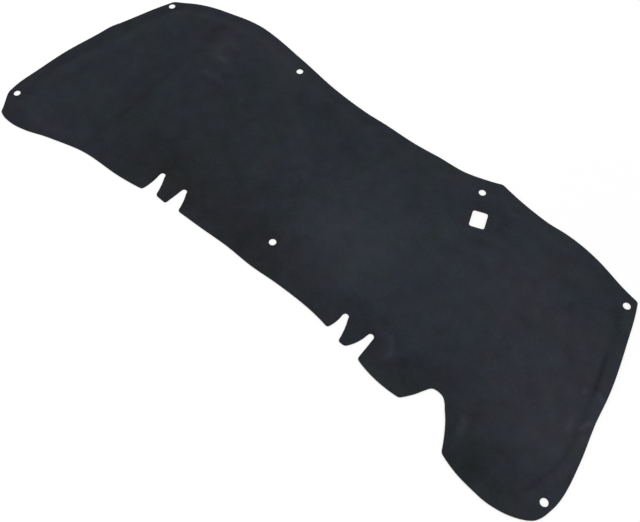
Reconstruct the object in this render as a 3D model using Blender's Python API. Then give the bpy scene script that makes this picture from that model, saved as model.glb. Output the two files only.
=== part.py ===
"""Bonnet insulation pad: one sheet of black felt, hot-pressed thin along its cut edge and round
each hole, and full and soft everywhere else. It lies on its flat back, front edge towards +Y.

Lengths are in millimetres until they reach Blender. Across is x, from the pad's centre line,
and forward is y, from the rear-most point of its edge.
"""

import math

import bmesh
import bpy
from mathutils import Matrix, Vector
from mathutils.geometry import interpolate_bezier, intersect_point_line

MM = 0.001

# Felt
RIM_THICK = 3.0
BODY_THICK = 8.0
RIM_WIDTH = 22.0
SHOULDER_WIDTH = 18.0
FELT_COLOUR = (0.0245, 0.0275, 0.0330, 1.0)
FELT_ROUGHNESS = 0.95

# Reach of the cut edge
END_X = 648.5
HIP_Y = 80.0
FRONT_Y = 514.0
CUT_RADIUS = 4.5

# Corners of the cut edge, between its smooth runs
LEFT_CORNER = (-END_X + 81.5, FRONT_Y - 69.0)
RIGHT_CORNER = (END_X - 76.5, FRONT_Y - 59.0)
PEAK = (253.0, FRONT_Y - 5.0)
CREST = (-END_X + 286.5, FRONT_Y)
LEFT_FOOT = (-END_X + 31.5, 7.0)

# Rear notches, each with the middle of its mouth, its tip, how far forward the left and right
# corners of its mouth lie, and how far its left and right walls bow to the right
NOTCHES = (
    (-252.0, (-259.0, 112.0), (60.0, 67.0), (2.2, 1.2)),
    (-195.5, (-201.0, 112.0), (66.0, 69.0), (0.2, 1.6)),
    (199.5, (196.0, 109.3), (68.0, 60.0), (2.3, 1.6)),
    (245.0, (253.0, 107.5), (60.0, 56.0), (3.2, 0.0)),
)
NOTCH_MOUTH = 31.0
NOTCH_TIP_RADIUS = 6.0

# Rear bay
BAY_X = 409.5
BAY_MOUTH = 107.0
BAY_LEFT_Y = 47.0
BAY_RIGHT_Y = 18.0
BAY_CROWN_X = 399.5
BAY_CROWN = 22.0
BAY_CROWN_Y = 95.0

# Clip holes, each in a pressed seat
CLIP_HOLE = 14.0
SEAT_WIDTH = 26.0
SEAT_SLOPE = 8.0
CLIPS = {
    "end_left": (-END_X + 18.0, 58.0),
    "end_right": (END_X - 18.0, 58.0),
    "corner_left": (-END_X + 87.0, FRONT_Y - 81.0),
    "corner_right": (END_X - 88.0, FRONT_Y - 77.5),
    "front_left": (-227.0, FRONT_Y - 41.5),
    "front_right": (232.5, FRONT_Y - 45.0),
    "rear": (0.0, 133.0),
}

# Hole for the bonnet's prop rod, and the pressed border round it
PROP_X = 261.0
PROP_BACK = 99.0
PROP_SHORT = 29.0
PROP_LONG = 36.0
PROP_TURN = 20.4
PROP_RADIUS = 4.0
PROP_BORDER = 10.0

# Creases left by folding the pad for its carton
CREASE_X = -40.0
CREASE_PITCH = 385.0
CREASE_WIDTH = 10.0
CREASE_DEPTH = 0.8

# Fineness of the mesh
STEP = 12.0
TIP_POINTS = 7
CORNER_POINTS = 5
ROUND_SIDES = 28
SHOULDER_STEPS = 4
SLIVER = 0.1

# Overlap of pieces that are joined, and how far a cutter passes the felt
LAP = 1.0
PAST = 5.0


def clear_scene():
    for obj in list(bpy.data.objects):
        bpy.data.objects.remove(obj, do_unlink=True)


def new_collection(name, shown):
    collection = bpy.data.collections.new(name)
    collection.hide_render = not shown
    bpy.context.scene.collection.children.link(collection)
    return collection


def span(start, end, *bows):
    """Anchors from start to end, each bow a share of the way and a distance to the right of it."""
    start, end = Vector(start), Vector(end)
    way = end - start
    right = Vector((way.y, -way.x)).normalized()
    return [start, *(start + way * share + right * bow for share, bow in bows), end]


def smooth(anchors):
    """Points about a step apart along a smooth line through the anchors."""
    ways = [b - a for a, b in zip(anchors, anchors[1:])]
    aims = [(a.normalized() + b.normalized()).normalized() for a, b in zip(ways, ways[1:])]
    if aims:
        aims = [aims[0].reflect(ways[0].orthogonal().normalized()), *aims]
        aims.append(aims[-1].reflect(ways[-1].orthogonal().normalized()))
    else:
        aims = [ways[0].normalized()] * 2
    points = []
    for index, way in enumerate(ways):
        start, end = anchors[index], anchors[index + 1]
        reach = way.length / 3
        handles = start + aims[index] * reach, end - aims[index + 1] * reach
        count = max(1, round(way.length / STEP)) + 1
        points += interpolate_bezier(start, *handles, end, count)[:-1]
    return [point.to_2d() for point in points] + [anchors[-1]]


def notch(across, tip, mouth, bows):
    """Two slightly bowed walls that meet a round tip, which leans to one side of the mouth."""
    middle = Vector(tip) - Vector((0, NOTCH_TIP_RADIUS))
    arc = []
    for index in range(TIP_POINTS):
        angle = math.pi * (1 - index / (TIP_POINTS - 1))
        arc.append(middle + NOTCH_TIP_RADIUS * Vector((math.cos(angle), math.sin(angle))))
    left = span((across - NOTCH_MOUTH / 2, mouth[0]), arc[0], (0.5, bows[0]))
    right = span(arc[-1], (across + NOTCH_MOUTH / 2, mouth[1]), (0.5, -bows[1]))
    return [*smooth(left), *arc[1:-1], *smooth(right)]


def bay():
    """A bell-shaped bay with a short flat crown."""
    left = (BAY_X - BAY_MOUTH / 2, BAY_LEFT_Y)
    right = (BAY_X + BAY_MOUTH / 2, BAY_RIGHT_Y)
    crown_left = (BAY_CROWN_X - BAY_CROWN / 2, BAY_CROWN_Y)
    crown_right = (BAY_CROWN_X + BAY_CROWN / 2, BAY_CROWN_Y)
    anchors = [
        *span(left, crown_left, (0.5, 1.2), (0.77, -0.3)),
        *span(crown_right, right, (0.23, -3.7), (0.49, -4.9)),
    ]
    return smooth(anchors)


def edge_runs():
    """The smooth runs of the cut edge, anticlockwise from the first notch, corner to corner."""
    notches = [notch(*each) for each in NOTCHES]
    first, second, third, fourth = notches
    right_bay = bay()
    left_hip = (-END_X, HIP_Y)
    right_hip = (END_X, HIP_Y)
    right_lobe = (0.16, 22.8), (0.31, 37.4), (0.46, 49), (0.68, 54), (0.85, 46), (0.94, 24.5)
    right_end = (0.18, 6.4), (0.36, 6.8), (0.5, 10.5), (0.6, 10.9), (0.8, 7.3), (0.92, 4.2)
    right_side = [
        *span(right_bay[-1], right_hip, *right_lobe),
        *span(right_hip, RIGHT_CORNER, *right_end)[1:],
    ]
    dip = (0.05, -12), (0.12, -24), (0.21, -27.5), (0.3, -32.5), (0.42, -33)
    rise = (0.5, -34.5), (0.64, -29.2), (0.8, -14)
    brow = (0.17, 9), (0.36, 13), (0.6, 15.8), (0.77, 12.2), (0.89, 6)
    front = [
        *span(PEAK, CREST, *dip, *rise),
        *span(CREST, LEFT_CORNER, *brow)[1:],
    ]
    left_end = (0.12, 8), (0.24, 13), (0.33, 17), (0.39, 20.4), (0.47, 18.9), (0.7, 16), (0.88, 6.8)
    left_lobe = (0.2, 5.8), (0.38, 9.3), (0.7, 4.8), (0.86, 2.2)
    left_rear = (0.09, 10.9), (0.22, 9), (0.3, 2.8), (0.39, -2.2), (0.55, -8.8), (0.62, -8.5), (0.84, -0.4)
    left_side = [
        *span(LEFT_CORNER, left_hip, *left_end),
        *span(left_hip, LEFT_FOOT, *left_lobe)[1:],
        *span(LEFT_FOOT, first[0], *left_rear)[1:],
    ]
    tail = (0.16, -1.7), (0.33, -4.4), (0.5, -3), (0.67, -6.5), (0.87, -6)
    right_front = (0.1, 1.9), (0.3, 11.1), (0.42, 12.4), (0.54, 9), (0.66, 1.5)
    return [
        first,
        smooth([first[-1], second[0]]),
        second,
        smooth(span(second[-1], third[0], *tail)),
        third,
        smooth([third[-1], fourth[0]]),
        fourth,
        smooth(span(fourth[-1], right_bay[0], (0.45, 5))),
        right_bay,
        smooth(right_side),
        smooth(span(RIGHT_CORNER, PEAK, *right_front)),
        smooth(front),
        smooth(left_side),
    ]


def cut_edge():
    """The whole cut edge as one closed loop, with the corners between its runs eased."""
    runs = edge_runs()
    loop = []
    for before, run in zip(runs[-1:] + runs[:-1], runs):
        corner = run[0]
        back = (before[-2] - corner).normalized() * CUT_RADIUS
        ahead = (run[1] - corner).normalized() * CUT_RADIUS
        handles = corner + back / 3, corner + ahead / 3
        eased = interpolate_bezier(corner + back, *handles, corner + ahead, 4)
        loop += [point.to_2d() for point in eased] + run[1:-1]
    return loop


def way_in(before, point, after):
    """The move that takes a point of an anticlockwise loop in by one, clear of both its edges."""
    first = (point - before).orthogonal().normalized()
    second = (after - point).orthogonal().normalized()
    return (first + second) / (1 + first.dot(second))


def gap_to(point, loop):
    """Distance from a point to the nearest edge of a loop."""
    gaps = []
    for start, end in zip(loop, loop[1:] + loop[:1]):
        foot, share = intersect_point_line(point, start, end)
        near = start if share < 0 else end if share > 1 else foot.to_2d()
        gaps.append((point - near).length)
    return min(gaps)


def rings_inside(loop, distances):
    """The loop taken in by each distance. Points that can't reach the last one are left out."""
    neighbours = zip(loop[-1:] + loop[:-1], loop, loop[1:] + loop[:1])
    moves = [way_in(*each) for each in neighbours]
    deepest = distances[-1]
    slack = deepest / 100
    kept = [
        (point, move)
        for point, move in zip(loop, moves)
        if gap_to(point + move * deepest, loop) > deepest - slack
    ]
    return [[point + move * distance for point, move in kept] for distance in distances]


def link(obj, collection):
    collection.objects.link(obj)
    if collection.hide_render:
        obj.hide_render = True
        obj.display_type = "WIRE"
    return obj


def clip_hole(place):
    """The loop of a clip hole."""
    angles = (2 * math.pi * index / ROUND_SIDES for index in range(ROUND_SIDES))
    spokes = (Vector((math.cos(angle), math.sin(angle))) for angle in angles)
    return [Vector(place) + CLIP_HOLE / 2 * spoke for spoke in spokes]


def prop_hole():
    """The loop of the prop-rod hole, a turned rectangle with rounded corners."""
    middle = Vector((PROP_X, FRONT_Y - PROP_BACK))
    turn = Matrix.Rotation(math.radians(PROP_TURN), 2)
    across, along = PROP_SHORT / 2 - PROP_RADIUS, PROP_LONG / 2 - PROP_RADIUS
    corners = (across, along), (-across, along), (-across, -along), (across, -along)
    loop = []
    for quarter, corner in enumerate(corners):
        for index in range(CORNER_POINTS):
            angle = math.pi / 2 * (quarter + index / (CORNER_POINTS - 1))
            spoke = Vector((math.cos(angle), math.sin(angle)))
            loop.append(middle + turn @ (Vector(corner) + PROP_RADIUS * spoke))
    return loop


def sheet(name, loops, thickness, collection):
    """A flat sheet on z = 0, cut along the first loop, with a hole at each of the others."""
    curve = bpy.data.curves.new(name, "CURVE")
    curve.dimensions = "2D"
    curve.fill_mode = "BOTH"
    curve.extrude = thickness / 2 * MM
    for loop in loops:
        spline = curve.splines.new("POLY")
        spline.points.add(len(loop) - 1)
        for knot, point in zip(spline.points, loop):
            knot.co = (point.x * MM, point.y * MM, 0, 1)
        spline.use_cyclic_u = True
    drawn = bpy.data.objects.new(name, curve)
    drawn.location.z = thickness / 2 * MM
    bpy.context.scene.collection.objects.link(drawn)
    graph = bpy.context.evaluated_depsgraph_get()
    mesh = bpy.data.meshes.new_from_object(drawn.evaluated_get(graph))
    mesh.transform(drawn.matrix_world)
    bpy.data.objects.remove(drawn)
    bm = bmesh.new()
    bm.from_mesh(mesh)
    bmesh.ops.remove_doubles(bm, verts=bm.verts, dist=1e-6)
    bmesh.ops.dissolve_limit(bm, angle_limit=1e-3, verts=bm.verts, edges=bm.edges)
    bmesh.ops.recalc_face_normals(bm, faces=bm.faces)
    bm.to_mesh(mesh)
    bm.free()
    return link(bpy.data.objects.new(name, mesh), collection)


def loft(name, rings, heights, collection):
    """A closed solid through rings of equally many points, each ring at its own height."""
    bm = bmesh.new()
    levels = [
        [bm.verts.new((point.x * MM, point.y * MM, height * MM)) for point in ring]
        for ring, height in zip(rings, heights)
    ]
    for low, high in zip(levels, levels[1:]):
        for index in range(len(low)):
            bm.faces.new((low[index - 1], low[index], high[index], high[index - 1]))
    bm.faces.new(reversed(levels[0]))
    bm.faces.new(levels[-1])
    mesh = bpy.data.meshes.new(name)
    bm.to_mesh(mesh)
    bm.free()
    return link(bpy.data.objects.new(name, mesh), collection)


def cone(name, place, low_width, high_width, low, high, collection):
    """A round cutter, upright at a place on the sheet, from one height to another."""
    bm = bmesh.new()
    middle = Vector((*place, (low + high) / 2)) * MM
    bmesh.ops.create_cone(
        bm,
        cap_ends=True,
        segments=ROUND_SIDES,
        radius1=low_width / 2 * MM,
        radius2=high_width / 2 * MM,
        depth=(high - low) * MM,
        matrix=Matrix.Translation(middle),
    )
    mesh = bpy.data.meshes.new(name)
    bm.to_mesh(mesh)
    bm.free()
    return link(bpy.data.objects.new(name, mesh), collection)


def boolean(obj, operation, others):
    """Cuts the others from a solid, or joins them to it, and keeps the result as its mesh."""
    for other in others:
        modifier = obj.modifiers.new(other.name, "BOOLEAN")
        modifier.operation = operation
        modifier.object = other
        modifier.solver = "EXACT"
    graph = bpy.context.evaluated_depsgraph_get()
    mesh = bpy.data.meshes.new_from_object(obj.evaluated_get(graph))
    obj.modifiers.clear()
    obj.data = mesh


def rounded_box(name, widths, radius, low, high, flare, collection):
    """A turned box cutter with rounded edges, wider at its top by the flare on every side."""
    bm = bmesh.new()
    bmesh.ops.create_cube(bm, size=1)
    bmesh.ops.scale(bm, vec=Vector((*widths, high - low)) * MM, verts=bm.verts)
    upright = [edge for edge in bm.edges if abs((edge.verts[0].co - edge.verts[1].co).z) > 0]
    rounding = {"segments": CORNER_POINTS - 1, "profile": 0.5, "affect": "EDGES"}
    bmesh.ops.bevel(bm, geom=upright, offset=radius * MM, **rounding)
    top = [vert for vert in bm.verts if vert.co.z > 0]
    grown = [(width + 2 * flare) / width for width in widths]
    bmesh.ops.scale(bm, vec=(*grown, 1), verts=top)
    turn = Matrix.Rotation(math.radians(PROP_TURN), 4, "Z")
    place = Vector((PROP_X, FRONT_Y - PROP_BACK, (low + high) / 2)) * MM
    bmesh.ops.transform(bm, matrix=Matrix.Translation(place) @ turn, verts=bm.verts)
    mesh = bpy.data.meshes.new(name)
    bm.to_mesh(mesh)
    bm.free()
    return link(bpy.data.objects.new(name, mesh), collection)


def seat_cutters(cutters):
    """Flared cutters that leave only the pressed felt round each hole."""
    low, high = RIM_THICK - 2 * LAP, BODY_THICK + PAST
    slope = SEAT_SLOPE / (BODY_THICK - RIM_THICK)
    below, above = slope * (RIM_THICK - low), slope * (high - RIM_THICK)
    widths = SEAT_WIDTH - 2 * below, SEAT_WIDTH + 2 * above
    seats = [
        cone(f"{name}_seat", place, *widths, low, high, cutters)
        for name, place in CLIPS.items()
    ]
    border = PROP_BORDER - below
    sizes = PROP_SHORT + 2 * border, PROP_LONG + 2 * border
    radius = PROP_RADIUS + border
    seats.append(rounded_box("prop_border", sizes, radius, low, high, below + above, cutters))
    return seats


def crease_cutters(cutters):
    """Long bars with their lower edge just under the surface, which leave shallow creases."""
    bars = []
    for index in (-1, 0, 1):
        bm = bmesh.new()
        bmesh.ops.create_cone(bm, cap_ends=True, segments=4, radius1=1, radius2=1, depth=1)
        upright = Matrix.Rotation(math.radians(90), 4, "X")
        sizes = Matrix.Diagonal((CREASE_WIDTH / 2 * MM, FRONT_Y * MM, CREASE_DEPTH * MM, 1))
        across = CREASE_X + index * CREASE_PITCH
        place = Matrix.Translation(Vector((across, FRONT_Y / 2, BODY_THICK)) * MM)
        bmesh.ops.transform(bm, matrix=place @ sizes @ upright, verts=bm.verts)
        mesh = bpy.data.meshes.new("crease")
        bm.to_mesh(mesh)
        bm.free()
        bars.append(link(bpy.data.objects.new(f"crease_{index + 2}", mesh), cutters))
    return bars


def full_body(loop, cutters):
    """The full felt inside the pressed rim, with its soft shoulder, its seats and its creases."""
    shares = [index / SHOULDER_STEPS for index in range(SHOULDER_STEPS + 1)]
    distances = [RIM_WIDTH + SHOULDER_WIDTH * share for share in shares]
    rise = BODY_THICK - RIM_THICK
    heights = [RIM_THICK + rise * share * share * (3 - 2 * share) for share in shares]
    heights[0] -= LAP
    body = loft("full_body", rings_inside(loop, distances), heights, cutters)
    boolean(body, "DIFFERENCE", seat_cutters(cutters) + crease_cutters(cutters))
    return body


def felt():
    material = bpy.data.materials.new("black_felt")
    material.use_nodes = True
    shader = material.node_tree.nodes["Principled BSDF"]
    shader.inputs["Base Color"].default_value = FELT_COLOUR
    shader.inputs["Roughness"].default_value = FELT_ROUGHNESS
    shader.inputs["Metallic"].default_value = 0.0
    return material


def finish(obj):
    """Leaves well-shaped triangles and no slivers, with the middle of the pad's box on the origin."""
    places = [vert.co for vert in obj.data.vertices]
    middle = [(min(p[i] for p in places) + max(p[i] for p in places)) / 2 for i in (0, 1)]
    bm = bmesh.new()
    bm.from_mesh(obj.data)
    bmesh.ops.translate(bm, vec=(-middle[0], -middle[1], 0), verts=bm.verts)
    bmesh.ops.dissolve_degenerate(bm, dist=SLIVER * MM, edges=bm.edges)
    bmesh.ops.triangulate(bm, faces=bm.faces, quad_method="BEAUTY", ngon_method="BEAUTY")
    bm.to_mesh(obj.data)
    bm.free()


def main():
    clear_scene()
    parts = new_collection("bonnet_insulation_pad", shown=True)
    cutters = new_collection("cutters", shown=False)
    loop = cut_edge()
    holes = [clip_hole(place) for place in CLIPS.values()] + [prop_hole()]
    pad = sheet("insulation_pad", [loop, *holes], RIM_THICK, parts)
    boolean(pad, "UNION", [full_body(loop, cutters)])
    finish(pad)
    pad.data.materials.clear()
    pad.data.materials.append(felt())


main()
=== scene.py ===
"""Looks of the bonnet insulation pad: black needle-punched felt, pressed thin along its cut edge,
lying on a pale studio floor. Lengths are in metres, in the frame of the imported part.
"""

import math

import bmesh
import bpy
import numpy as np
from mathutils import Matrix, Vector, noise
from mathutils.bvhtree import BVHTree
from mathutils.geometry import delaunay_2d_cdt
from mathutils.kdtree import KDTree

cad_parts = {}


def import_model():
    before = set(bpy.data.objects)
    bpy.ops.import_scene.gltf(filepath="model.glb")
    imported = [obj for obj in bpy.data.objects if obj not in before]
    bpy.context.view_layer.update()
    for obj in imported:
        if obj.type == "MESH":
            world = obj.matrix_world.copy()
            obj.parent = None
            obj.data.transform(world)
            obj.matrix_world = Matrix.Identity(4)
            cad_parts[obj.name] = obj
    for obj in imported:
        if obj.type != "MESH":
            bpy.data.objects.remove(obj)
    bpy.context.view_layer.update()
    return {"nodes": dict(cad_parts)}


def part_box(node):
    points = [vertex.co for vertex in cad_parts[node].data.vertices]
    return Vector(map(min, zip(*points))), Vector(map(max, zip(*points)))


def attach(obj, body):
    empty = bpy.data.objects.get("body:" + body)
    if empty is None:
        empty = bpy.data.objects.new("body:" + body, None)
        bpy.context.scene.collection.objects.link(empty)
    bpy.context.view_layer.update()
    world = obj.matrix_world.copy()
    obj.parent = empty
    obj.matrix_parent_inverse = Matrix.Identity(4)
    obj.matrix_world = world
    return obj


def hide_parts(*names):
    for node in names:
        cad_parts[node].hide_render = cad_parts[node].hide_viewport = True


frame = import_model()

# Camera, as the photograph was taken, with its turns in degrees and its lens in millimetres
CAMERA_PLACE = (0.518, -0.606, 1.246)
CAMERA_TILT = 28.052
CAMERA_ROLL = -0.023
CAMERA_TURN = 40.068
CAMERA_LENS = 43.93
CAMERA_SENSOR = 36.0
CAMERA_CLIP = (0.01, 100)

# Thickness of the pressed rim and of the full felt
RIM_THICK = 0.003
BODY_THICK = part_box("insulation_pad")[1].z

# Section of the cut edge from the back to the face: how far in, and share of the thickness
EDGE_SECTION = (
    (0.0005, 0.0),
    (0.0000, 0.15),
    (0.0000, 0.50),
    (0.0001, 0.80),
    (0.0004, 0.95),
    (0.0010, 1.0),
)

# Fineness of the felt's mesh: along its cut edge, over its face and over its back
EDGE_STEP = 0.0022
FACE_STEP = 0.0033
BACK_STEP = 0.0090

# Making of the mesh: pieces of each stretch of the cut edge, how far the grid's points stay clear
# of it in steps, rounds of softening, and the distance within which points are one
EDGE_PIECES = 8
GRID_CLEAR = 0.6
SOFTENING = 16
SAME_POINT = 1e-6

# Lumps of the felt, each with its wavelength and its height, and the share left where it is pressed
LUMPS = (
    (0.300, 0.00110),
    (0.110, 0.00045),
    (0.042, 0.00026),
    (0.019, 0.00016),
    (0.009, 0.00009),
)
LUMPS_PRESSED = 0.12
NOISE_SHIFT = (3.1, 7.7, 1.3)

# Marks on the face, each a line: its half width, its height, how much paler it is, and its points.
# Most are painted light: painted shade in grooves, creases, slots and dents, and painted
# highlights on ridges and wrinkles; the small pale flecks are lint
MARKS = (
    # Left end: the press line, darkened with painted shade in its groove, and the ridge beside it,
    # paler with a painted highlight
    (0.009, -0.0003, -0.22, (
        (-0.545, 0.190), (-0.572, 0.100), (-0.602, -0.025),
        (-0.619, -0.095), (-0.621, -0.155), (-0.613, -0.205),
    )),
    (0.012, 0.0002, 0.15, (
        (-0.520, 0.160), (-0.549, 0.098), (-0.569, 0.036), (-0.590, -0.020),
        (-0.595, -0.085), (-0.594, -0.155), (-0.586, -0.205), (-0.560, -0.219),
        (-0.530, -0.217), (-0.480, -0.203), (-0.438, -0.183),
    )),
    # Left end: painted shade in the creases of a carton fold, and a fleck
    (0.005, -0.0003, -0.17, ((-0.425, 0.030), (-0.424, 0.010))),
    (0.005, -0.0003, -0.15, ((-0.421, -0.026), (-0.422, -0.050))),
    (0.006, -0.0003, -0.16, ((-0.421, -0.082), (-0.426, -0.112))),
    (0.004, 0.0, 0.30, ((-0.500, 0.007), (-0.496, 0.000))),
    # Right end: the press line and its deep slot, darkened with painted shade, the paler rim, and
    # flecks
    (0.009, -0.0003, -0.20, ((0.550, 0.160), (0.566, 0.137), (0.575, 0.108), (0.581, 0.073))),
    (0.005, -0.0006, -0.42, ((0.582, 0.068), (0.590, 0.036), (0.596, 0.012))),
    (0.005, -0.0003, -0.24, (
        (0.599, 0.005), (0.606, -0.038), (0.613, -0.077), (0.618, -0.121),
        (0.616, -0.145), (0.608, -0.170), (0.597, -0.206),
    )),
    (0.006, 0.0002, 0.12, ((0.606, 0.030), (0.617, -0.002), (0.624, -0.040), (0.626, -0.080))),
    (0.005, 0.0, 0.48, ((0.612, -0.062), (0.620, -0.044))),
    (0.005, 0.0, 0.46, ((0.607, 0.005), (0.614, 0.000))),
    (0.004, 0.0, 0.45, ((0.584, -0.003), (0.586, -0.006))),
    (0.004, 0.0, 0.45, ((0.594, -0.062), (0.598, -0.079))),
    # Front left: a crooked fold, with a painted highlight on its ridge and painted shade in the dent
    # beside it, and pale and dark marks beside it, painted highlights and painted shade on the sides
    # of small wrinkles
    (0.018, 0.0005, 0.24, ((-0.390, 0.178), (-0.396, 0.150))),
    (0.009, 0.0, 0.26, ((-0.388, 0.128), (-0.366, 0.134))),
    (0.008, 0.0, 0.32, ((-0.372, 0.134), (-0.362, 0.135))),
    (0.012, -0.0006, -0.26, ((-0.434, 0.200), (-0.428, 0.158))),
    (0.008, 0.0003, 0.25, ((-0.370, 0.085), (-0.328, 0.089))),
    (0.009, -0.0003, -0.15, ((-0.372, 0.070), (-0.342, 0.075))),
    (0.005, 0.0003, 0.24, ((-0.266, 0.079), (-0.259, 0.078))),
    (0.007, -0.0003, -0.22, ((-0.254, 0.077), (-0.249, 0.074))),
    (0.010, -0.0004, -0.20, ((-0.121, 0.179), (-0.114, 0.172))),
    # About the prop-rod hole: painted shade below and beside it, and a ridge paler with a painted
    # highlight
    (0.010, -0.0002, -0.13, ((0.262, 0.106), (0.288, 0.116), (0.330, 0.125))),
    (0.008, 0.0, -0.12, ((0.300, 0.175), (0.304, 0.158))),
    (0.007, 0.0003, 0.12, ((0.281, 0.221), (0.299, 0.200), (0.324, 0.217))),
    # Right half: painted shade in small dents
    (0.010, -0.0002, -0.10, ((0.436, 0.038), (0.458, 0.026))),
    (0.006, -0.0003, -0.14, ((0.484, 0.116), (0.497, 0.094))),
    (0.007, -0.0003, -0.14, ((0.524, 0.034), (0.538, 0.028))),
    # Beside the last notch and the bay: painted highlights on small wrinkles, and painted shade in a
    # dent
    (0.006, 0.0003, 0.32, ((0.281, -0.137), (0.299, -0.154), (0.296, -0.170))),
    (0.008, -0.0003, -0.16, ((0.323, -0.159), (0.326, -0.163))),
    (0.007, 0.0004, 0.54, ((0.461, -0.174), (0.467, -0.194))),
)

# Painted shade along the creases of folds from the pad's carton, each with its place across and how
# much paler it is
PAINTED_FOLD_SHADE = ((-0.425, -0.07), (-0.040, -0.05), (0.345, -0.02))
FOLD_HALF = 0.005

# How uneven the marks and folds are along their length, with its wavelength and its seed
UNEVEN = 0.35
UNEVEN_LENGTH = 0.06
UNEVEN_SEED = 11

# Patches of painted sheen and painted shade over the face, each with its middle, its radii, and how
# much paler, redder and bluer it is
PAINTED_SHEEN_AND_SHADE = (
    ((0.105, -0.022), (0.105, 0.120), 0.29, 0.00, 0.00),
    ((0.370, 0.030), (0.240, 0.120), 0.12, 0.00, 0.02),
    ((0.390, 0.085), (0.070, 0.060), 0.00, 0.14, 0.00),
    ((0.505, 0.035), (0.085, 0.110), 0.00, 0.09, 0.00),
    ((0.560, -0.072), (0.080, 0.100), 0.24, 0.15, 0.00),
    ((0.610, -0.160), (0.035, 0.100), 0.12, 0.06, 0.00),
    ((0.250, 0.190), (0.045, 0.060), -0.09, 0.00, 0.00),
    ((0.540, 0.195), (0.110, 0.035), -0.13, 0.00, 0.00),
    ((0.500, -0.215), (0.085, 0.045), -0.20, 0.00, -0.07),
    ((0.345, -0.175), (0.110, 0.035), -0.10, 0.00, -0.06),
    ((0.190, -0.155), (0.080, 0.040), -0.14, 0.05, 0.00),
    ((-0.010, -0.135), (0.120, 0.070), -0.22, 0.07, -0.05),
    ((-0.210, -0.150), (0.090, 0.060), -0.16, 0.10, -0.03),
    ((-0.250, -0.030), (0.060, 0.110), -0.13, 0.00, -0.05),
    ((-0.350, -0.110), (0.080, 0.070), -0.11, 0.00, -0.07),
    ((-0.030, 0.150), (0.170, 0.070), -0.11, 0.00, 0.02),
    ((-0.405, 0.170), (0.050, 0.045), 0.00, 0.19, 0.08),
    ((-0.300, 0.225), (0.120, 0.035), 0.11, 0.04, 0.00),
    ((-0.550, -0.080), (0.060, 0.100), 0.08, 0.00, 0.00),
    ((-0.520, -0.212), (0.130, 0.040), 0.18, 0.12, 0.04),
    ((-0.625, -0.120), (0.030, 0.120), 0.00, 0.07, 0.03),
)

# Felt: its colour, its tone where it is full, and how much darker and smoother pressed felt is
FELT_COLOUR = (0.0166, 0.0199, 0.0253, 1.0)
FULL_TONE = 0.90
PRESSED_DARKER = 0.10
FULL_ROUGHNESS = 0.95
PRESSED_SMOOTHER = 0.08
BACK_PRESSED = 0.3
FELT_SURFACE = {
    "Specular IOR Level": 0.12,
    "Sheen Weight": 0.04,
    "Sheen Roughness": 0.5,
    "Sheen Tint": (0.80, 0.88, 1.0, 1),
}

# Fibres, each lay with its angle in degrees and its fineness, and how much longer than wide they are
FIBRE_LAYS = ((8, 1300), (52, 1150), (97, 1250), (141, 1100))
FIBRE_LENGTH = 7
FIBRE_DETAIL = 2

# Fineness and detail of the patches in the tone, of the clumps of fibres and of the tint, all of
# them noise of one roughness
PATCHES = (9, 2)
SMALL_PATCHES = (36, 3)
CLUMPS = (150, 3)
TINTS = (20, 3)
NOISE_ROUGHNESS = 0.55

# How far the tone swings with each of these, the share of the tint, and each bump's strength and depth
PATCH_SWING = 0.40
SMALL_PATCH_SWING = 0.50
CLUMP_SWING = 0.46
FIBRE_SWING = 0.95
TINT_SHARE = 0.20
FIBRE_BUMP = (0.7, 0.0006)
CLUMP_BUMP = (0.5, 0.0012)

# Studio: the lamp and the light of the room
KEY_PLACE = (0.45, 0.25, 1.7)
KEY_AIM = (0.25, 0.0, 0.0)
KEY_SIZE = 1.0
KEY_POWER = 17
WORLD_LIGHT = 0.60

# Floor: its size, how far it lies below the felt, its colour for the light that it throws back, and
# its colour in the picture. Away from the lamp it glows more, which keeps it white, and far out it
# is plain white.
FLOOR_SIZE = 16
FLOOR_DROP = 0.0003
FLOOR_COLOUR = (0.80, 0.80, 0.80, 1.0)
FLOOR_SHADED = (0.45, 0.45, 0.45, 1.0)
FLOOR_GLOW = (0.48, 0.67)
GLOW_REACH = 1.6
FLOOR_FADE = (0.9, 1.6)


def cut_loops(node):
    """The cut edge and the edge of every hole, in order, with the felt on the right of each."""
    bm = bmesh.new()
    bm.from_mesh(node.data)
    bmesh.ops.remove_doubles(bm, verts=bm.verts, dist=SAME_POINT)
    flat = (face for face in bm.faces if max(vert.co.z for vert in face.verts) < RIM_THICK / 100)
    back = dict.fromkeys(flat)  # in order, unlike a set, so that each run gives the same mesh
    after = {}
    for face in back:
        for corner in face.loops:
            if sum(other in back for other in corner.edge.link_faces) == 1:
                after[corner.vert] = corner.link_loop_next.vert
    loops = []
    while after:
        vert = next(iter(after))
        loop = []
        while vert in after:
            loop.append(vert.co.xy[:])
            vert = after.pop(vert)
        loops.append(np.array(loop))
    bm.free()
    return sorted(loops, key=len, reverse=True)


def evenly(loop, step):
    """Points of even spacing along a smooth closed line through the points of a loop."""
    ahead = np.roll(loop, -1, axis=0) - loop
    length = np.linalg.norm(ahead, axis=1)[:, None]
    before, length_before = np.roll(ahead, 1, axis=0), np.roll(length, 1, axis=0)
    aim = (ahead + before) / (length + length_before)
    share = np.linspace(0, 1, EDGE_PIECES, endpoint=False)[:, None, None]
    start = loop + share**2 * (3 - 2 * share) * ahead
    bend = share * (1 - share) ** 2 * aim - share**2 * (1 - share) * np.roll(aim, -1, axis=0)
    fine = (start + bend * length).transpose(1, 0, 2).reshape(-1, 2)
    fine = np.vstack([fine, fine[:1]])
    walked = np.concatenate([[0], np.cumsum(np.linalg.norm(np.diff(fine, axis=0), axis=1))])
    stops = np.linspace(0, walked[-1], round(walked[-1] / step) + 1)[:-1]
    return np.column_stack([np.interp(stops, walked, fine[:, axis]) for axis in (0, 1)])


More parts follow.
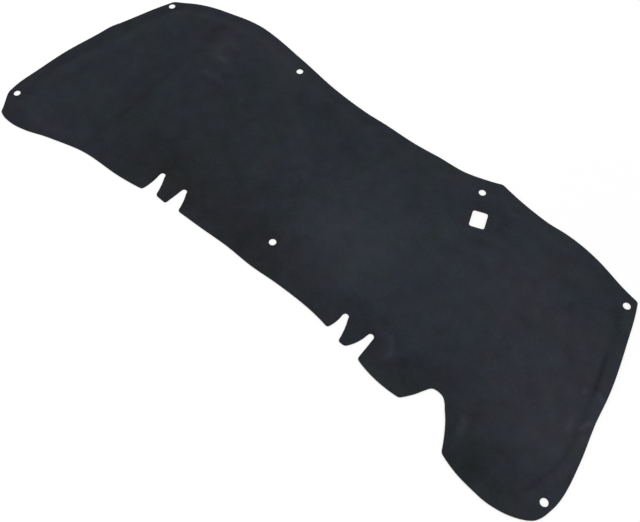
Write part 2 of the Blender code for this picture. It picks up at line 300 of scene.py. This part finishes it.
def taken_in(loop, distance):
    """The loop moved into the felt by a distance."""
    way = np.roll(loop, -1, axis=0) - np.roll(loop, 1, axis=0)
    way /= np.linalg.norm(way, axis=1)[:, None]
    return loop + distance * np.column_stack([way[:, 1], -way[:, 0]])


def looked_down_on(solid, x, y):
    """The point of the solid that shows from above at a place, or None beside it."""
    return solid.ray_cast(Vector((x, y, 1)), (0, 0, -1))[0]


def grid_points(rings, step, solid):
    """Points of a triangular grid that lie in the felt and clear of its rings."""
    near = KDTree(sum(map(len, rings)))
    for index, point in enumerate(np.vstack(rings)):
        near.insert((*point, 0), index)
    near.balance()
    low, high = rings[0].min(0), rings[0].max(0)
    rise = step * math.sqrt(3) / 2
    kept = []
    for row in range(int((high[1] - low[1]) / rise) + 1):
        for column in range(int((high[0] - low[0]) / step) + 1):
            place = Vector((low[0] + (column + row % 2 / 2) * step, low[1] + row * rise, 0))
            clear = near.find(place)[2] > step * GRID_CLEAR
            if clear and looked_down_on(solid, place.x, place.y):
                kept.append(place.xy[:])
    return np.array(kept)


def triangles(rings, inner):
    """Triangles over the felt between its rings, through the inner points."""
    points = [Vector(point) for point in np.vstack([*rings, inner])]
    edges, owner, start = [], {}, 0
    for number, ring in enumerate(rings):
        count = len(ring)
        edges += [(start + index, start + (index + 1) % count) for index in range(count)]
        owner.update((start + index, number) for index in range(count))
        start += count
    made = delaunay_2d_cdt(points, edges, [], 1, SAME_POINT / 10)
    source = [origin[0] for origin in made[3]]
    kept = []
    for face in made[2]:
        corners = [source[corner] for corner in face]
        owners = {owner.get(corner) for corner in corners}
        if len(owners) > 1 or owners <= {None, 0}:
            kept.append(corners)
    return np.array(kept)


def softened(heights, faces, fixed):
    """Heights evened out over neighbouring points, apart from the fixed ones."""
    sides = np.vstack([faces[:, [0, 1]], faces[:, [1, 2]], faces[:, [2, 0]]])
    pairs = np.unique(np.sort(sides, axis=1), axis=0)
    ends = np.concatenate([pairs[:, 0], pairs[:, 1]])
    others = np.concatenate([pairs[:, 1], pairs[:, 0]])
    count = np.maximum(np.bincount(ends, minlength=len(heights)), 1)
    for _ in range(SOFTENING):
        mean = np.bincount(ends, heights[others], minlength=len(heights)) / count
        heights = np.where(fixed, heights, (heights + mean) / 2)
    return heights


def wander(places, wavelength, seed):
    """Smooth noise from about -1 to 1 over the places."""
    shift = Vector(NOISE_SHIFT) * seed
    return np.array([noise.noise(Vector((x, y, 0)) / wavelength + shift) for x, y in places])


def gaps(places, points):
    """Distances of the places from a line through the points."""
    nearest = np.full(len(places), np.inf)
    for start, end in zip(points, points[1:]):
        offset, way = places - start, np.subtract(end, start)
        share = np.clip(offset @ way / (way @ way), 0, 1)
        nearest = np.minimum(nearest, np.linalg.norm(offset - share[:, None] * way, axis=1))
    return nearest


def lumps(places, full):
    """How far the lumps of the felt lift its face, less where it is pressed."""
    rise = np.zeros(len(places))
    left = LUMPS_PRESSED + (1 - LUMPS_PRESSED) * full
    for seed, (wavelength, height) in enumerate(LUMPS):
        rise += height * wander(places, wavelength, seed + 1) * left
    return rise


def marks(places):
    """How far the marks lift the face, and how much paler they, the painted shade of the folds and the
    patches of painted sheen and shade leave its three colours.
    """
    rise, paler = np.zeros(len(places)), np.zeros((len(places), 3))
    uneven = 1 + UNEVEN * wander(places, UNEVEN_LENGTH, UNEVEN_SEED)
    for half, height, tone, points in MARKS:
        share = np.exp(-((gaps(places, points) / half) ** 2)) * uneven
        rise += height * share
        paler += tone * share[:, None]
    # Painted shade along the creases of the carton folds
    for across, tone in PAINTED_FOLD_SHADE:
        share = np.exp(-(((places[:, 0] - across) / FOLD_HALF) ** 2)) * uneven
        paler += tone * share[:, None]
    # Patches of painted sheen and painted shade
    for middle, radii, tone, redder, bluer in PAINTED_SHEEN_AND_SHADE:
        share = np.exp(-(((places - middle) / radii) ** 2).sum(1))
        paler += np.outer(share, (tone + redder, tone, tone + bluer))
    return rise, paler


def dressed_face(solid, rings, inner, corners):
    """The face's heights, how full its felt is, and how much paler its marks, painted sheen and
    painted shade leave it.
    """
    ring_count = sum(map(len, rings))
    places = np.vstack([*rings, inner])
    hits = [looked_down_on(solid, x, y).z for x, y in inner]
    heights = np.concatenate([np.full(ring_count, RIM_THICK), hits])
    fixed = np.arange(len(heights)) < ring_count
    heights = softened(heights, corners, fixed)
    full = np.clip((heights - RIM_THICK) / (BODY_THICK - RIM_THICK), 0, 1)
    rise, paler = marks(places)
    return heights + (lumps(places, full) + rise), full, paler


def edge_faces(loops):
    """Faces up the cut edge and round the wall of every hole, between the rows of its section."""
    ring_count = sum(map(len, loops))
    faces, start = [], 0
    for loop in loops:
        count = len(loop)
        for level in range(len(EDGE_SECTION) - 1):
            low, high = start + level * ring_count, start + (level + 1) * ring_count
            for index in range(count):
                after = (index + 1) % count
                faces.append((low + index, high + index, high + after, low + after))
        start += count
    return faces


def felt_pad(node):
    """The felt as one closed mesh on the solid's own outline, with its tone, painted sheen and painted
    shade included, as attributes.
    """
    solid_mesh = bmesh.new()
    solid_mesh.from_mesh(node.data)
    solid = BVHTree.FromBMesh(solid_mesh)
    solid_mesh.free()

    loops = [evenly(loop, EDGE_STEP) for loop in cut_loops(node)]
    rows = [[taken_in(loop, inset) for loop in loops] for inset, _ in EDGE_SECTION]
    ring_count = sum(map(len, loops))
    face_inner = grid_points(rows[-1], FACE_STEP, solid)
    back_inner = grid_points(rows[0], BACK_STEP, solid)
    face_corners = triangles(rows[-1], face_inner)
    back_corners = triangles(rows[0], back_inner)
    heights, full, paler = dressed_face(solid, rows[-1], face_inner, face_corners)
    face_paler = paler[ring_count:]

    # Points: the rows of the edge from the back to the face, then the face, then the back
    points = []
    for row, (_, share) in zip(rows, EDGE_SECTION):
        points.append(np.column_stack([np.vstack(row), heights[:ring_count] * share]))
    points.append(np.column_stack([face_inner, heights[ring_count:]]))
    points.append(np.column_stack([back_inner, np.zeros(len(back_inner))]))
    points = np.vstack(points)
    top_row = ring_count * (len(EDGE_SECTION) - 1)
    face_start = top_row + ring_count
    back_start = face_start + len(face_inner)

    def numbered(corners, ring_start, inner_start):
        """Corners counted in one surface, its rings first, as points of the whole mesh."""
        inner_corners = corners - ring_count + inner_start
        return np.where(corners < ring_count, corners + ring_start, inner_corners)

    faces = [tuple(face) for face in numbered(face_corners, top_row, face_start).tolist()]
    faces += [tuple(reversed(face)) for face in numbered(back_corners, 0, back_start).tolist()]
    faces += edge_faces(loops)
    mesh = bpy.data.meshes.new("felt_pad")
    mesh.from_pydata(points.tolist(), [], faces)
    mesh.validate()
    mesh.shade_smooth()

    pressed = np.ones(len(points))
    pressed[face_start:back_start] = 1 - full[ring_count:]
    pressed[back_start:] = BACK_PRESSED
    # Tone for every point: the marks with their painted shade and highlights, the painted fold shade
    # and the patches of painted sheen and shade
    edges = [paler[:ring_count]] * len(EDGE_SECTION)
    painted_light_and_tone = np.vstack([*edges, face_paler, np.zeros((len(back_inner), 3))])
    mesh.attributes.new("pressed", "FLOAT", "POINT").data.foreach_set("value", pressed)
    mesh.attributes.new("painted_light_and_tone", "FLOAT_VECTOR", "POINT").data.foreach_set("vector", painted_light_and_tone.ravel())
    pad = bpy.data.objects.new("felt_pad", mesh)
    bpy.context.scene.collection.objects.link(pad)
    return pad


def add_node(tree, kind, inputs=(), **settings):
    """A node with its settings, and each input, by name or number, set or linked."""
    node = tree.nodes.new(kind)
    for name, value in settings.items():
        setattr(node, name, value)
    for key, value in dict(inputs).items():
        if isinstance(value, bpy.types.NodeSocket):
            tree.links.new(value, node.inputs[key])
        else:
            node.inputs[key].default_value = value
    return node


def felt_material():
    """Black felt of crossed fibres in soft clumps, darker and smoother where it is pressed."""
    material = bpy.data.materials.new("black_felt")
    material.use_nodes = True
    tree = material.node_tree
    shader = tree.nodes["Principled BSDF"]
    place = add_node(tree, "ShaderNodeTexCoord").outputs["Object"]

    def grain(scale, detail, vector=place):
        inputs = {"Vector": vector, "Scale": scale, "Detail": detail, "Roughness": NOISE_ROUGHNESS}
        return add_node(tree, "ShaderNodeTexNoise", inputs)

    def calc(operation, first, second):
        inputs = {0: first, 1: second}
        return add_node(tree, "ShaderNodeMath", inputs, operation=operation).outputs[0]

    def swing(value, amount):
        """Takes a value about 0.5 to one about 0, times the amount."""
        return calc("MULTIPLY", calc("SUBTRACT", value, 0.5), amount)

    def blend(share, first, second, kind="MIX"):
        inputs = {0: share, 6: first, 7: second}
        settings = {"data_type": "RGBA", "blend_type": kind, "clamp_factor": False}
        return add_node(tree, "ShaderNodeMix", inputs, **settings).outputs[2]

    def fibres(turn, scale):
        """Long thin streaks that all lie at one angle."""
        stretch = (1, FIBRE_LENGTH, 1)
        inputs = {"Vector": place, "Rotation": (0, 0, math.radians(turn)), "Scale": stretch}
        laid = add_node(tree, "ShaderNodeMapping", inputs, vector_type="TEXTURE").outputs[0]
        return grain(scale, FIBRE_DETAIL, laid).outputs["Fac"]

    def bump(height, amount, **below):
        strength, depth = amount
        inputs = {"Height": height, "Strength": strength, "Distance": depth, **below}
        return add_node(tree, "ShaderNodeBump", inputs).outputs[0]

    pressed = add_node(tree, "ShaderNodeAttribute", attribute_name="pressed").outputs["Fac"]
    # The marks, the painted shade and the painted sheen, carried by the mesh
    painted_light_and_tone = add_node(tree, "ShaderNodeAttribute", attribute_name="painted_light_and_tone").outputs["Vector"]

    strands = fibres(*FIBRE_LAYS[0])
    for lay in FIBRE_LAYS[1:]:
        strands = calc("MAXIMUM", strands, fibres(*lay))
    clumps = grain(*CLUMPS).outputs["Fac"]
    tone = calc("SUBTRACT", FULL_TONE, calc("MULTIPLY", pressed, PRESSED_DARKER))
    for part in (
        swing(grain(*PATCHES).outputs["Fac"], PATCH_SWING),
        swing(grain(*SMALL_PATCHES).outputs["Fac"], SMALL_PATCH_SWING),
        swing(clumps, CLUMP_SWING),
        swing(strands, FIBRE_SWING),
    ):
        tone = calc("ADD", tone, part)
    # Add the marks, with their painted shade and highlights, and the patches of painted sheen and
    # shade
    tone = add_node(tree, "ShaderNodeVectorMath", {0: tone, 1: painted_light_and_tone}, operation="ADD").outputs[0]

    # The tint is noise about a middle grey, so twice the tint leaves the colour's level as it is
    tint = blend(TINT_SHARE, (0.5, 0.5, 0.5, 1), grain(*TINTS).outputs["Color"])
    tinted = blend(1.0, FELT_COLOUR, blend(1.0, tint, (2, 2, 2, 1), "MULTIPLY"), "MULTIPLY")
    colour = blend(1.0, tinted, tone, "MULTIPLY")

    fine = bump(strands, FIBRE_BUMP)
    coarse = bump(clumps, CLUMP_BUMP, Normal=fine)
    rough = calc("SUBTRACT", FULL_ROUGHNESS, calc("MULTIPLY", pressed, PRESSED_SMOOTHER))

    tree.links.new(colour, shader.inputs["Base Color"])
    tree.links.new(rough, shader.inputs["Roughness"])
    tree.links.new(coarse, shader.inputs["Normal"])
    for name, value in FELT_SURFACE.items():
        shader.inputs[name].default_value = value
    return material


def seen_directly(tree):
    """1 for what the camera, a mirror or glass sees, and 0 for light that falls on things."""
    light_path = add_node(tree, "ShaderNodeLightPath")
    seen = light_path.outputs["Is Camera Ray"]
    for name in ("Is Glossy Ray", "Is Transmission Ray"):
        inputs = {0: seen, 1: light_path.outputs[name]}
        seen = add_node(tree, "ShaderNodeMath", inputs, operation="MAXIMUM").outputs[0]
    return seen


def floor():
    """A pale floor that looks white, keeps the shadow of the pad, and has no horizon."""
    bpy.ops.mesh.primitive_plane_add(size=FLOOR_SIZE, location=(0, 0, -FLOOR_DROP))
    ground = bpy.context.object
    ground.name = "floor"
    material = bpy.data.materials.new("floor")
    material.use_nodes = True
    tree = material.node_tree
    tree.nodes.clear()

    def mixed(share, first, second):
        inputs = {0: share, 1: first.outputs[0], 2: second.outputs[0]}
        return add_node(tree, "ShaderNodeMixShader", inputs)

    lit = add_node(tree, "ShaderNodeBsdfDiffuse", {"Color": FLOOR_COLOUR})
    shaded = add_node(tree, "ShaderNodeBsdfDiffuse", {"Color": FLOOR_SHADED})
    place = add_node(tree, "ShaderNodeTexCoord").outputs["Object"]

    def grown(middle, start, end, low, high):
        """A value that grows from low to high between two distances from a middle."""
        away = add_node(tree, "ShaderNodeVectorMath", {0: place, 1: middle}, operation="DISTANCE")
        inputs = {"From Min": start, "From Max": end, "To Min": low, "To Max": high}
        inputs["Value"] = away.outputs["Value"]
        ramp = add_node(tree, "ShaderNodeMapRange", inputs, interpolation_type="SMOOTHSTEP")
        return ramp.outputs[0]

    level = grown((*KEY_PLACE[:2], 0), 0, GLOW_REACH, *FLOOR_GLOW)
    glow = add_node(tree, "ShaderNodeEmission", {"Strength": level})
    near = add_node(tree, "ShaderNodeAddShader", {0: shaded.outputs[0], 1: glow.outputs[0]})
    white = add_node(tree, "ShaderNodeEmission", {"Strength": 1.0})
    far = grown((0, 0, 0), *FLOOR_FADE, 0, 1)
    surface = mixed(seen_directly(tree), lit, mixed(far, near, white))
    add_node(tree, "ShaderNodeOutputMaterial", {"Surface": surface.outputs[0]})
    ground.data.materials.append(material)
    return ground


def world():
    """Even light from all round, and plain white where the camera looks past the floor."""
    bpy.context.scene.world = bpy.data.worlds.new("studio")
    bpy.context.scene.world.use_nodes = True
    tree = bpy.context.scene.world.node_tree
    levels = {"Value": seen_directly(tree), "To Min": WORLD_LIGHT, "To Max": 1.0}
    level = add_node(tree, "ShaderNodeMapRange", levels).outputs[0]
    tree.nodes["Background"].inputs["Color"].default_value = (1, 1, 1, 1)
    tree.links.new(level, tree.nodes["Background"].inputs["Strength"])


def lamp(name, place, aim, size, power):
    """A round soft lamp at a place, turned towards its aim."""
    data = bpy.data.lights.new(name, "AREA")
    data.shape = "DISK"
    data.size = size
    data.energy = power
    obj = bpy.data.objects.new(name, data)
    obj.location = place
    obj.rotation_euler = (Vector(aim) - Vector(place)).to_track_quat("-Z", "Y").to_euler()
    bpy.context.scene.collection.objects.link(obj)


def camera():
    """The camera of the photograph."""
    data = bpy.data.cameras.new("camera")
    data.lens = CAMERA_LENS
    data.sensor_width = CAMERA_SENSOR
    data.clip_start, data.clip_end = CAMERA_CLIP
    obj = bpy.data.objects.new("camera", data)
    obj.location = CAMERA_PLACE
    obj.rotation_euler = [math.radians(turn) for turn in (CAMERA_TILT, CAMERA_ROLL, CAMERA_TURN)]
    bpy.context.scene.collection.objects.link(obj)
    bpy.context.scene.camera = obj


bpy.context.scene.view_settings.view_transform = "Standard"
camera()
world()
lamp("key", KEY_PLACE, KEY_AIM, KEY_SIZE, KEY_POWER)
floor()

pad = felt_pad(frame["nodes"]["insulation_pad"])
pad.data.materials.append(felt_material())
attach(pad, "root")
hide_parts("insulation_pad")
